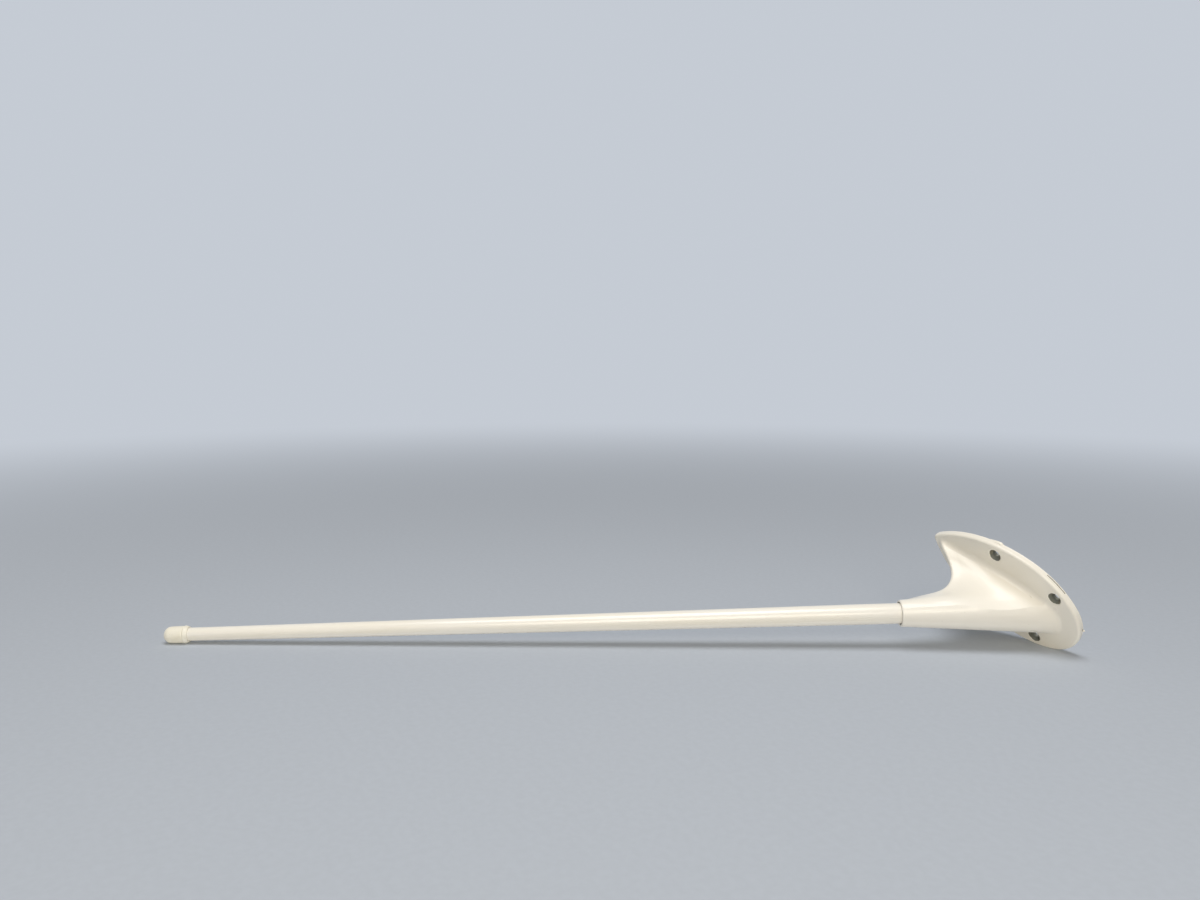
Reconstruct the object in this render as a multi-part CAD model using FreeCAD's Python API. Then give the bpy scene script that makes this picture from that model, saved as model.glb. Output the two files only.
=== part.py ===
import FreeCAD
import Part
import math
import os
from FreeCAD import Vector

# Bent-whip radio antenna for an aircraft's skin, with its matching network and coax connector.
# Lengths are in millimetres. X points aft, Y starboard and Z up off the skin. The origin is
# the centre of the bolt pattern, on the mounting face. A length s runs up the whip's axis.

# Flange: a nose arc, two shoulder arcs, and two long arcs that meet at the aft point
bolt_pitch = 44.45
flange_mid_x = -1.0
flange_half_width = 34.2
nose_length = 45.2
nose_radius = 28.0
tail_length = 67.0
flange_top = 4.8
flange_bevel = 1.6
tip_round = 3.2
plate_thickness = 1.3
plate_inset = 0.25

# Mast: a cone round the whip's axis, with a web whose flat flanks sweep aft to a thin edge
rake_deg = 51.34
foot_x = -17.4
mouth_s = 92.3
mouth_radius = 8.65
mast_taper = 0.0717
mast_seating = 1.5
web_foot_x = 60.8
web_low_angle = 34.2
web_high_angle = 65.0
web_corner_radius = 19.5
web_edge_radius = 1.9
web_round_from_z = 30.0
flat_depth_foot = 0.6
flat_depth_waist = 1.5
flat_depth_mouth = 0.06
waist_z = 26.0
fade_z = 46.0
foot_fillet = 3.5
mouth_bevel = 0.4

# Screw lands, which rise from the base plate through the flange
hole_diameter = 5.1
land_diameter = 10.3
sink_diameter = 9.4
sink_angle = 100.0

# Whip
whip_root_s = 46.0
whip_straight_s = 124.0
whip_end_s = 575.0
whip_root_diameter = 13.4
whip_end_diameter = 8.8
whip_bore = 4.4
seal_diameter = 15.0
seal_depth = 2.0
seal_recess = 0.5

# Tip cap
cap_length = 16.7
cap_overlap = 10.9
cap_diameter = 11.3
cap_rounding = 3.2
cap_steps = 2
collar_diameter = 11.9
collar_length = 1.7

# Whip socket and the conductor that stands in it
socket_diameter = 17.0
socket_height = 26.0
socket_floor = 4.0
stud_diameter = 3.2
stud_length = 16.0
radiator_diameter = 3.0
radiator_end_gap = 12.0

# Matching board, its posts and the pocket that they stand in
pocket_step = 16.0
pocket_top = 22.5
board_gap = 1.0
board_bottom = 12.0
board_thickness = 1.6
board_front_x = -14.0
board_back_x = 21.0
board_front_half = 6.6
board_half = 8.4
board_back_half = 4.2
board_shoulder_x = -10.0
board_taper_x = 6.0
post_flats = 5.0
post_fore_x = -10.6
post_aft_x = 17.2

# Parts on the board
toroid_x = 7.0
toroid_outer = 9.5
toroid_inner = 5.1
toroid_height = 4.0
winding_wire = 0.6
winding_clearance = 0.05
winding_turns = 9
winding_span = 280.0
capacitor_x = -2.6
capacitor_y = 5.2
capacitor_length = 4.2
capacitor_width = 2.6
capacitor_height = 4.6
feed_wire_diameter = 1.2

# Coax connector
coax_x = 3.2
barrel_diameter = 9.65
barrel_bore = 8.1
barrel_length = 10.7
barrel_bore_depth = 9.0
coax_flats = 14.3
coax_flange = 2.0
seat_diameter = 17.6
seat_depth = 0.3
neck_diameter = 9.5
neck_spare = 1.8
nut_height = 2.4
lug_span = 11.1
lug_diameter = 2.0
lug_depth = 4.3
insulator_diameter = 4.8
insulator_recess = 1.6
contact_diameter = 2.2
contact_bore = 1.37
contact_bore_depth = 5.0
contact_end = 0.5
washer_thickness = 0.6
washer_outer = 12.5

# Directions and places that follow from the sizes above
UP = Vector(0, 0, 1)
SIDE = Vector(0, 1, 0)
rake = math.radians(rake_deg)
AXIS = Vector(math.cos(rake), 0, math.sin(rake))
foot = Vector(foot_x, 0, 0)
board_top = board_bottom + board_thickness
reach = 3 * tail_length
bolt_places = [Vector(fore * bolt_pitch / 2, side * bolt_pitch / 2, 0)
               for fore in (-1, 1) for side in (-1, 1)]


def on_axis(s):
    """A point on the whip's axis, s up from the skin."""
    return foot + AXIS * s


def rod(diameter, start, length, axis=UP):
    return Part.makeCylinder(diameter / 2, length, start, axis)


def ring(outer, inner, start, length, axis=UP):
    """A plain ring or sleeve; the bore runs past both ends so that it cuts clean."""
    return rod(outer, start, length, axis).cut(rod(inner, start - axis, length + 2, axis))


def turned(outline, base=Vector(0, 0, 0), axis=UP):
    """Turns a closed outline of (radius, height) points about an axis."""
    corners = [Vector(r, 0, h) for r, h in outline]
    face = Part.Face(Part.makePolygon(corners + [corners[0]]))
    solid = face.revolve(Vector(0, 0, 0), UP, 360)
    solid.Placement = FreeCAD.Placement(base, FreeCAD.Rotation(UP, axis))
    return solid


def prism(outline, bottom, top):
    """A straight-sided block over a closed outline of (x, y) points."""
    corners = [Vector(x, y, bottom) for x, y in outline]
    return Part.Face(Part.makePolygon(corners + [corners[0]])).extrude(UP * (top - bottom))


def both_sides(half):
    """Closes a half outline, given from front to back, with its mirror image."""
    return half + [(x, -y) for x, y in reversed(half)]


def hexagon(flats, x, bottom, top):
    radius = flats / math.sqrt(3)
    turns = [math.radians(60 * k) for k in range(6)]
    return prism([(x + radius * math.cos(t), radius * math.sin(t)) for t in turns], bottom, top)


def smooth(t):
    """Eases from 0 to 1 as t goes from 0 to 1."""
    t = min(1.0, max(0.0, t))
    return t * t * (3 - 2 * t)


def mix(a, b, share):
    return a * (1 - share) + b * share


def mirrored(point):
    return Vector(point.x, -point.y, point.z)


# Flange

def flange_prism(inset, bottom, top):
    """The flange's outline, drawn in by inset, from bottom to top, with its blunt aft point."""
    tail_radius = (tail_length ** 2 + flange_half_width ** 2) / (2 * flange_half_width)
    tail_drop = tail_radius - flange_half_width
    radius = tail_radius - inset
    tip_run = math.sqrt(radius ** 2 - tail_drop ** 2)
    nose_run = nose_length - nose_radius
    spread = nose_run ** 2 + flange_half_width ** 2 - nose_radius ** 2
    shoulder_radius = spread / (2 * (flange_half_width - nose_radius))
    shoulder_drop = shoulder_radius - flange_half_width
    meet = math.atan2(shoulder_drop, nose_run)
    mid = Vector(flange_mid_x, 0, bottom)
    nose_centre = mid - Vector(nose_run, 0, 0)

    def swing(centre, r, start, end, side):
        """An arc round a centre; angles are from straight forward, towards one side."""
        points = []
        for turn in (start, (start + end) / 2, end):
            points.append(centre + Vector(-r * math.cos(turn), side * r * math.sin(turn), 0))
        return Part.Arc(*points).toShape()

    edges = [swing(nose_centre, nose_radius - inset, -meet, meet, 1)]
    aft = math.pi / 2 + math.asin(tip_run / radius)
    for side in (1, -1):
        shoulder_centre = mid - Vector(0, side * shoulder_drop, 0)
        tail_centre = mid - Vector(0, side * tail_drop, 0)
        edges.append(swing(shoulder_centre, shoulder_radius - inset, meet, math.pi / 2, side))
        edges.append(swing(tail_centre, radius, math.pi / 2, aft, side))
    block = Part.Face(Part.Wire(Part.__sortEdges__(edges))).extrude(UP * (top - bottom))
    point = [e for e in block.Edges if e.BoundBox.XMin > flange_mid_x + tip_run - 0.01]
    return block.makeFillet(tip_round, point)


def flange():
    body = flange_prism(0, plate_thickness, flange_top)
    rim = [e for e in body.Edges if e.BoundBox.ZMin > flange_top - 0.01]
    return body.makeChamfer(flange_bevel, rim)


# Mast

def cone_radius(s):
    return mouth_radius + mast_taper * (mouth_s - s)


def cone_cut(z):
    """The level cut of the mast's cone at height z: middle x, half length and half width."""
    c = AXIS.x
    h = AXIS.z
    r0 = cone_radius(0)
    s_fore = (z - c * r0) / (h - c * mast_taper)
    s_aft = (z + c * r0) / (h + c * mast_taper)
    x_fore = foot_x + c * s_fore - h * cone_radius(s_fore)
    x_aft = foot_x + c * s_aft + h * cone_radius(s_aft)
    middle = (x_fore + x_aft) / 2
    s_mid = c * (middle - foot_x) + h * z
    off_axis = h * (middle - foot_x) - c * z
    half_width = math.sqrt(cone_radius(s_mid) ** 2 - off_axis ** 2)
    return middle, (x_aft - x_fore) / 2, half_width


def mouth_aft_point():
    """The aft end of the mast's mouth, where the web starts."""
    return on_axis(mouth_s) + Vector(AXIS.z, 0, -AXIS.x) * mouth_radius


def web_edge_x(z):
    """The web's trailing edge: a low line and a high line joined by an arc."""
    low = math.tan(math.radians(web_low_angle))
    high = math.tan(math.radians(web_high_angle))
    mouth = mouth_aft_point()
    rise = web_foot_x - mouth.x + flange_top / low + mouth.z / high
    corner_z = rise / (1 / low + 1 / high)
    corner_x = web_foot_x - (corner_z - flange_top) / low
    half = math.radians(web_low_angle + web_high_angle) / 2
    lean = math.radians(web_high_angle - web_low_angle) / 2
    arc_x = corner_x + web_corner_radius / math.sin(half) * math.cos(lean)
    arc_z = corner_z + web_corner_radius / math.sin(half) * math.sin(lean)
    run = web_corner_radius / math.tan(half)
    if z > corner_z + run * math.sin(math.radians(web_high_angle)):
        return mouth.x - (mouth.z - z) / high
    if z < corner_z - run * math.sin(math.radians(web_low_angle)):
        return web_foot_x - (z - flange_top) / low
    return arc_x - math.sqrt(web_corner_radius ** 2 - (z - arc_z) ** 2)


def flat_depth(z):
    """How far the web's flat flank cuts into the cone: deepest at the waist, gone higher up."""
    swell = mix(flat_depth_foot, flat_depth_waist, smooth(z / waist_z))
    return mix(swell, flat_depth_mouth, smooth((z - waist_z) / (fade_z - waist_z)))


def edge_through(points, start, end, middle=None):
    """A smooth edge through evenly spaced points, with the directions at its ends."""
    last = len(points) - 1
    spline = Part.BSplineCurve()
    tangents = [start] + [middle or start] * (last - 1) + [end]
    flags = [True] + [middle is not None] * (last - 1) + [True]
    spacing = [k / last for k in range(last + 1)]
    spline.interpolate(Points=points, Parameters=spacing, Tangents=tangents, TangentFlags=flags)
    return spline.toShape()


def web_section(z):
    """The web's level outline at height z. It runs forward past the cone, which trims it."""
    middle, a, b = cone_cut(z)
    mouth_z = mouth_aft_point().z
    edge_x = middle + a
    if z < mouth_z:
        edge_x = max(edge_x, web_edge_x(max(z, flange_top)))
    round_share = smooth((z - web_round_from_z) / (mouth_z - web_round_from_z))
    axis_x = foot_x + z / math.tan(rake)
    flank_y = cone_radius(z / math.sin(rake)) - flat_depth(z)
    edge_radius = mix(web_edge_radius, b * b / a, round_share)
    slope = 0.9 * math.atan2(flank_y - edge_radius, edge_x - edge_radius - axis_x)
    slope = mix(slope, math.radians(60), round_share)
    turn = math.atan(b / a / math.tan(slope))
    on_cone = Vector(middle + a * math.cos(turn), b * math.sin(turn), z)
    on_edge_x = edge_x - edge_radius * (1 - math.sin(slope))
    on_edge = Vector(on_edge_x, edge_radius * math.cos(slope), z)
    tail = mix(on_edge, on_cone, round_share)
    leave = Vector(math.cos(slope), -math.sin(slope), 0)
    back = Vector(-leave.x, leave.y, 0)
    start = Vector(1, -mast_taper * AXIS.x * round_share, 0).normalize()
    front = Vector(flange_mid_x - 1.5 * nose_length, flank_y, z)
    flank = Vector(axis_x, flank_y, z)
    edge = Vector(edge_x, 0, z)
    return Part.Wire([
        Part.makeLine(front, flank),
        edge_through([flank, tail], start, leave),
        edge_through([tail, edge, mirrored(tail)], leave, back, -SIDE),
        edge_through([mirrored(tail), mirrored(flank)], back, Vector(-start.x, start.y, 0)),
        Part.makeLine(mirrored(flank), mirrored(front)),
        Part.makeLine(mirrored(front), front),
    ])


def mast():
    """Cone and web in one: the web's flanks cut the cone flat, and the cone rounds its nose."""
    low = flange_top - mast_seating
    high = on_axis(mouth_s).z + mouth_radius
    steps = 10
    levels = [low + (high - low) * k / steps for k in range(steps + 1)]
    web = Part.makeLoft([web_section(z) for z in levels], True, False, False, 3)
    cone_low = -mouth_radius
    cone_high = mouth_s + mouth_radius
    cone = Part.makeCone(cone_radius(cone_low), cone_radius(cone_high), cone_high - cone_low,
                         on_axis(cone_low), AXIS)
    corners = [on_axis(cone_low), on_axis(cone_high), on_axis(cone_high) + Vector(reach, 0, 0),
               on_axis(cone_low) + Vector(reach, 0, 0)]
    corners = [corner - SIDE * nose_length for corner in corners]
    behind = Part.Face(Part.makePolygon(corners + [corners[0]])).extrude(SIDE * 2 * nose_length)
    beyond = rod(2 * nose_length, on_axis(mouth_s), nose_length, AXIS)
    return web.common(cone.fuse(behind)).cut(beyond)


def mouth_corner():
    """What the bevel takes off the mouth's outer corner."""
    start = on_axis(mouth_s - mouth_bevel)
    outer = cone_radius(mouth_s - mouth_bevel)
    top = outer - mouth_bevel
    bevel = Part.makeCone(outer, top, mouth_bevel, start, AXIS)
    return rod(3 * mouth_radius, start, mouth_bevel, AXIS).cut(bevel)


def pocket():
    """The room for the matching board, open at the bottom, with a smaller room above it."""
    lower = [(board_front_x - board_gap, board_front_half + board_gap),
             (board_shoulder_x, board_half + board_gap),
             (board_taper_x, board_half + board_gap),
             (board_back_x + board_gap, board_back_half + board_gap)]
    upper = [(capacitor_x - capacitor_length - board_gap * 2, board_half - board_gap),
             (board_taper_x, board_half - board_gap),
             (toroid_x + toroid_outer / 2 + 2 * board_gap, board_back_half + board_gap)]
    room = prism(both_sides(lower), plate_thickness, pocket_step)
    return room.fuse(prism(both_sides(upper), plate_thickness, pocket_top))


def fairing():
    post = mast()
    body = flange().fuse(post).removeSplitter()
    seam = []
    for edge in body.Edges:
        box = edge.BoundBox
        halfway = edge.valueAt((edge.FirstParameter + edge.LastParameter) / 2)
        level = max(abs(box.ZMin - flange_top), abs(box.ZMax - flange_top)) < 0.01
        if level and post.distToShape(Part.Vertex(halfway))[0] < 0.01:
            seam.append(edge)
    body = body.makeFillet(foot_fillet, seam).cut(mouth_corner())
    body = body.cut(rod(whip_root_diameter, on_axis(whip_root_s), reach, AXIS))
    body = body.cut(rod(seal_diameter, on_axis(mouth_s - seal_depth), reach, AXIS))
    body = body.cut(socket_blank()).cut(pocket())
    for place in bolt_places:
        body = body.cut(rod(land_diameter, place, 2 * flange_top))
    return body


# Base plate

def base_plate():
    """The metal layer: a land lines each screw hole, and a shallow seat below takes the connector."""
    sink_start = flange_top - (sink_diameter - hole_diameter) / 2 / math.tan(
        math.radians(sink_angle / 2))
    sink = [(0, sink_start), (hole_diameter / 2, sink_start), (sink_diameter / 2, flange_top),
            (0, flange_top)]
    plate = flange_prism(plate_inset, 0, plate_thickness)
    for place in bolt_places:
        plate = plate.fuse(rod(land_diameter, place, flange_top))
    for place in bolt_places:
        plate = plate.cut(rod(hole_diameter, place - UP, 2 * flange_top)).cut(turned(sink, place))
    plate = plate.cut(rod(neck_diameter, Vector(coax_x, 0, -1), plate_thickness + 2))
    return plate.cut(rod(seat_diameter, Vector(coax_x, 0, -1), seat_depth + 1))


# Whip

def whip_tube():
    root = whip_root_diameter / 2
    end = whip_end_diameter / 2
    bore = whip_bore / 2
    outline = [(bore, whip_root_s), (root, whip_root_s), (root, whip_straight_s),
               (end, whip_end_s - cap_overlap), (end, whip_end_s), (bore, whip_end_s)]
    return turned(outline, foot, AXIS)


def tip_cap():
    """A cup over the whip's end; its nose is rounded in steps."""
    start = whip_end_s - cap_overlap
    end = start + cap_length
    wall = cap_diameter / 2
    bore = whip_end_diameter / 2
    outline = [(0, whip_end_s), (bore, whip_end_s), (bore, start), (collar_diameter / 2, start),
               (collar_diameter / 2, start + collar_length), (wall, start + collar_length)]
    for step in range(cap_steps + 1):
        turn = math.pi / 2 * step / cap_steps
        outline.append((wall - cap_rounding * (1 - math.cos(turn)),
                        end - cap_rounding * (1 - math.sin(turn))))
    return turned(outline + [(0, end)], foot, AXIS)


def whip_seal():
    start = on_axis(mouth_s - seal_depth)
    return ring(seal_diameter, whip_root_diameter, start, seal_depth - seal_recess, AXIS)


# Whip socket and conductor

def socket_blank():
    """The socket's outside with its stud, which the fairing is moulded round."""
    cup_s = whip_root_s - socket_floor
    stud = rod(stud_diameter, on_axis(cup_s - stud_length), stud_length + 1, AXIS)
    return rod(socket_diameter, on_axis(cup_s), socket_height, AXIS).fuse(stud)


def whip_socket():
    bore = rod(whip_root_diameter, on_axis(whip_root_s), socket_height, AXIS)
    return socket_blank().cut(bore)


def radiator_rod():
    length = whip_end_s - radiator_end_gap - whip_root_s
    return rod(radiator_diameter, on_axis(whip_root_s), length, AXIS)


# Matching board and its posts

def matching_board():
    half = [(board_front_x, board_front_half), (board_shoulder_x, board_half),
            (board_taper_x, board_half), (board_back_x, board_back_half)]
    board = prism(both_sides(half), board_bottom, board_top)
    start = Vector(coax_x, 0, board_bottom - 1)
    return board.cut(rod(contact_diameter, start, board_thickness + 2))


def board_post(x):
    return hexagon(post_flats, x, plate_thickness, board_bottom)


# Parts on the board

def toroid_bottom():
    return board_top + winding_wire + winding_clearance


def toroid_core():
    return ring(toroid_outer, toroid_inner, Vector(toroid_x, 0, toroid_bottom()), toroid_height)


def toroid_winding():
    """Turns of wire, each a square loop round the core; the gap faces the contact."""
    inner = toroid_inner / 2 - winding_clearance
    outer = toroid_outer / 2 + winding_clearance
    low = toroid_bottom() - winding_clearance
    high = toroid_bottom() + toroid_height + winding_clearance
    hole = Part.makeBox(outer - inner, 2 * winding_wire, high - low,
                        Vector(inner, -winding_wire, low))
    loop = Part.makeBox(outer - inner + 2 * winding_wire, winding_wire,
                        high - low + 2 * winding_wire,
                        Vector(inner - winding_wire, -winding_wire / 2, low - winding_wire))
    loop = loop.cut(hole)
    turns = []
    for k in range(winding_turns):
        turn = loop.copy()
        turn.rotate(Vector(0, 0, 0), UP, winding_span * (k / (winding_turns - 1) - 0.5))
        turn.translate(Vector(toroid_x, 0, 0))
        turns.append(turn)
    return Part.makeCompound(turns)


def capacitor(side):
    corner = Vector(capacitor_x - capacitor_length / 2,
                    side * capacitor_y - capacitor_width / 2, board_top)
    return Part.makeBox(capacitor_length, capacitor_width, capacitor_height, corner)


def feed_wire():
    """A straight lead from the stud's end down the whip's axis to the board."""
    end_s = whip_root_s - socket_floor - stud_length
    wire = rod(feed_wire_diameter, on_axis(board_bottom), end_s - board_bottom, AXIS)
    return wire.cut(Part.makeBox(reach, reach, board_top, Vector(-reach / 2, -reach / 2, 0)))


# Coax connector

def coax_face():
    """The height of the connector's open face, below the seat of its flange."""
    return seat_depth - coax_flange - barrel_length


def neck_top():
    return plate_thickness + washer_thickness + nut_height + neck_spare


def coax_shell():
    face = coax_face()
    flange_low = face + barrel_length
    shell = rod(barrel_diameter, Vector(coax_x, 0, face), barrel_length + coax_flange / 2)
    shell = shell.fuse(hexagon(coax_flats, coax_x, flange_low, flange_low + coax_flange))
    neck_start = flange_low + coax_flange / 2
    shell = shell.fuse(rod(neck_diameter, Vector(coax_x, 0, neck_start), neck_top() - neck_start))
    lug_start = Vector(coax_x, -lug_span / 2, face + lug_depth)
    shell = shell.fuse(rod(lug_diameter, lug_start, lug_span, SIDE))
    shell = shell.cut(rod(barrel_bore, Vector(coax_x, 0, face - 1), barrel_bore_depth + 1))
    return shell.cut(rod(insulator_diameter, Vector(coax_x, 0, face - 1), reach))


def coax_insulator():
    low = coax_face() + insulator_recess
    return ring(insulator_diameter, contact_diameter, Vector(coax_x, 0, low), neck_top() - low)


def coax_contact():
    low = coax_face() + insulator_recess
    body = rod(contact_diameter, Vector(coax_x, 0, low), board_top + contact_end - low)
    return body.cut(rod(contact_bore, Vector(coax_x, 0, low - 1), contact_bore_depth + 1))


def lock_washer():
    start = Vector(coax_x, 0, plate_thickness)
    return ring(washer_outer, neck_diameter, start, washer_thickness)


def coax_nut():
    low = plate_thickness + washer_thickness
    nut = hexagon(coax_flats, coax_x, low, low + nut_height)
    return nut.cut(rod(neck_diameter, Vector(coax_x, 0, low - 1), nut_height + 2))


def main():
    parts = {
        "fairing": fairing(),
        "base_plate": base_plate(),
        "whip_tube": whip_tube(),
        "tip_cap": tip_cap(),
        "whip_seal": whip_seal(),
        "whip_socket": whip_socket(),
        "radiator_rod": radiator_rod(),
        "feed_wire": feed_wire(),
        "matching_board": matching_board(),
        "board_post_fore": board_post(post_fore_x),
        "board_post_aft": board_post(post_aft_x),
        "toroid_core": toroid_core(),
        "toroid_winding": toroid_winding(),
        "capacitor_port": capacitor(-1),
        "capacitor_starboard": capacitor(1),
        "coax_shell": coax_shell(),
        "coax_insulator": coax_insulator(),
        "coax_contact": coax_contact(),
        "lock_washer": lock_washer(),
        "coax_nut": coax_nut(),
    }
    os.makedirs("parts", exist_ok=True)
    for name, shape in parts.items():
        shape.exportStep("parts/" + name + ".step")
        print("%-22s solids %d volume %9.1f valid %s" % (
            name, len(shape.Solids), shape.Volume, shape.isValid()))


main()
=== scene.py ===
# %% [markdown]
# # Whip antenna for an aircraft
# The real thing is a white enamelled fairing, bolted to the skin by a teardrop flange, with a long tapered
# whip that leans back out of it. It is shown lying on its side on a table, as if just taken off its shelf.
# The CAD model gives every piece its true place and size, in metres, with +X aft, +Y starboard and +Z up
# off the skin. So the script never moves it: it turns the camera and the table instead.

import math

import bmesh
import bpy
from mathutils import Matrix, Vector


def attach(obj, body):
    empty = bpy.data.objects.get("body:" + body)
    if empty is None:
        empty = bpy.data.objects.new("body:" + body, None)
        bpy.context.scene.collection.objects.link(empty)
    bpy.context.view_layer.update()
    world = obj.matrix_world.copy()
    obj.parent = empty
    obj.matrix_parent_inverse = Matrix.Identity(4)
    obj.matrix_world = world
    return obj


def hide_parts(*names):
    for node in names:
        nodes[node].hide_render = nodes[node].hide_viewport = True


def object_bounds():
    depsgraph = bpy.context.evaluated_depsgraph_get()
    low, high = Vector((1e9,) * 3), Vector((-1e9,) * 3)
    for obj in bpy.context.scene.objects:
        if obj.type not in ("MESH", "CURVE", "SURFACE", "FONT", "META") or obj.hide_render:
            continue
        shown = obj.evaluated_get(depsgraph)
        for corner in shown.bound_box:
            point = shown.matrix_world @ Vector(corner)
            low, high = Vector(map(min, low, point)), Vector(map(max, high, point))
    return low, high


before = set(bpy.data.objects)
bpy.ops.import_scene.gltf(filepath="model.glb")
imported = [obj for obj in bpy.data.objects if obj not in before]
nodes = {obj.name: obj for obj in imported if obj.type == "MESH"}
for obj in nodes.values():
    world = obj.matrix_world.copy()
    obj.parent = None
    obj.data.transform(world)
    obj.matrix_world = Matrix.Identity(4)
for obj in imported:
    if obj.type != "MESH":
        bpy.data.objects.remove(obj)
cad_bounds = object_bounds()
scene = bpy.context.scene
scene.view_settings.view_transform = "Standard"
print("pieces in the frame:", len(nodes))
print("box of the frame:", cad_bounds)

# %% [markdown]
# ## Places on the antenna
# The whip's axis leans aft from a point on the mounting face. Many pieces are turned about that axis, so a
# helper that gives a point on it, s millimetres up from the skin, saves a lot of arithmetic later.

# %% The whip's axis
MM = 0.001
RAKE = math.radians(51.34)
UP = Vector((0.0, 0.0, 1.0))
FOOT = Vector((-17.4, 0.0, 0.0)) * MM
WHIP_AXIS = Vector((math.cos(RAKE), 0.0, math.sin(RAKE)))


def up_the_whip(s_mm):
    return FOOT + WHIP_AXIS * s_mm * MM


print("tip of the whip:", up_the_whip(580.8))

# %% [markdown]
# ## Camera
# A camera has three directions of its own: right, up, and back (it looks along minus back). When they are
# known, they are simply the three columns of its rotation matrix. Here the photographer stood a little
# above the table, so in the antenna's frame the camera is rolled far over on its side.

# %% Camera at the photograph's angle
LOOK = Vector((0.5382, 0.7439, -0.3960)).normalized()
CAMERA_UP = Vector((0.5599, -0.6668, -0.4917))
CAMERA_UP = (CAMERA_UP - LOOK * CAMERA_UP.dot(LOOK)).normalized()
CAMERA_RIGHT = LOOK.cross(CAMERA_UP)
CAMERA_PLACE = (-0.11895, -0.5541, 0.4242)
FOCAL_LENGTH = 29.13
camera_data = bpy.data.cameras.new("camera")
camera_data.lens = FOCAL_LENGTH
camera_data.sensor_width = 36.0
camera_data.clip_end = 20.0
camera = bpy.data.objects.new("camera", camera_data)
turn = Matrix((CAMERA_RIGHT, CAMERA_UP, -LOOK)).transposed().to_4x4()
camera.matrix_world = Matrix.Translation(CAMERA_PLACE) @ turn
scene.collection.objects.link(camera)
scene.camera = camera
print("camera at", CAMERA_PLACE, "looks along", LOOK)

# %% [markdown]
# ## A helper for materials
# Every finish below starts from the Principled shader and adds a few nodes that read the Object
# coordinates. The pieces all stand at the origin, so Object coordinates are metres in the antenna's frame:
# a pattern has the same scale on every piece, and stays on it when the camera moves.


# %% Helper: a material, its nodes and its links
def start_material(name):
    material = bpy.data.materials.new(name)
    material.use_nodes = True
    shader = material.node_tree.nodes["Principled BSDF"]
    coordinates = material.node_tree.nodes.new("ShaderNodeTexCoord").outputs["Object"]
    return material, shader, coordinates


def add_node(material, kind, **settings):
    node = material.node_tree.nodes.new(kind)
    for key, value in settings.items():
        setattr(node, key, value)
    return node


def join(material, output, target):
    material.node_tree.links.new(output, target)


# %% Helper: noise, and the range that a value is turned into
def add_noise(material, coordinates, scale, detail=2.0, stretch=None):
    """Noise of so many cells to the metre; stretch scales it along X, Y and Z."""
    noise = add_node(material, "ShaderNodeTexNoise")
    noise.inputs["Scale"].default_value = scale
    noise.inputs["Detail"].default_value = detail
    if stretch:
        mapping = add_node(material, "ShaderNodeMapping")
        mapping.inputs["Scale"].default_value = stretch
        join(material, coordinates, mapping.inputs["Vector"])
        coordinates = mapping.outputs["Vector"]
    join(material, coordinates, noise.inputs["Vector"])
    return noise.outputs["Fac"]


def spread(material, value, low, high, to_low, to_high):
    ranger = add_node(material, "ShaderNodeMapRange")
    for name, number in (("From Min", low), ("From Max", high), ("To Min", to_low), ("To Max", to_high)):
        ranger.inputs[name].default_value = number
    join(material, value, ranger.inputs["Value"])
    return ranger.outputs["Result"]


def combine(material, operation, first, second):
    """A Math node; second is a number or another output."""
    node = add_node(material, "ShaderNodeMath", operation=operation)
    join(material, first, node.inputs[0])
    if isinstance(second, float):
        node.inputs[1].default_value = second
    else:
        join(material, second, node.inputs[1])
    return node.outputs["Value"]


def blend_colours(material, share, first, second):
    """Each of first and second is a colour, or an output that carries one."""
    mixer = add_node(material, "ShaderNodeMix", data_type="RGBA")
    join(material, share, mixer.inputs["Factor"])
    for socket, value in ((mixer.inputs[6], first), (mixer.inputs[7], second)):
        if isinstance(value, tuple):
            socket.default_value = (*value, 1.0)
        else:
            join(material, value, socket)
    return mixer.outputs[2]


def add_bump(material, shader, height, distance_mm):
    bump = add_node(material, "ShaderNodeBump")
    bump.inputs["Distance"].default_value = distance_mm * MM
    join(material, height, bump.inputs["Height"])
    join(material, bump.outputs["Normal"], shader.inputs["Normal"])


def height_off_skin(material, coordinates):
    axes = add_node(material, "ShaderNodeSeparateXYZ")
    join(material, coordinates, axes.inputs["Vector"])
    return axes.outputs["Z"]


# %% [markdown]
# ## Table
# The antenna rests on two points: the lower rim of its flange and the cap at its tip. The table's plane
# has a known direction, and is pushed up against the model until it touches the lowest point.
# Its material is pale paper. Far away it turns to plain background colour, so that no horizon shows. It is
# clear from behind and casts no shadow itself, so a view from the other side is neither blocked nor dark.

# %% The plane that the antenna lies on
TABLE_UP = Vector((0.4976, -0.7443, -0.4454)).normalized()
TABLE_RADIUS = 5.0
lowest = min(TABLE_UP.dot(v.co) for node in nodes.values() for v in node.data.vertices)
above_table = up_the_whip(250)
table_centre = above_table + TABLE_UP * (lowest - TABLE_UP.dot(above_table))
table_mesh = bpy.data.meshes.new("table")
shaper = bmesh.new()
bmesh.ops.create_circle(shaper, cap_ends=True, segments=96, radius=TABLE_RADIUS)
shaper.to_mesh(table_mesh)
shaper.free()
table = bpy.data.objects.new("table", table_mesh)
table_turn = TABLE_UP.to_track_quat("Z", "Y").to_matrix().to_4x4()
table.matrix_world = Matrix.Translation(table_centre) @ table_turn
table.visible_shadow = False
scene.collection.objects.link(table)
print("the table is", round(-lowest / MM, 1), "mm from the origin")

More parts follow.
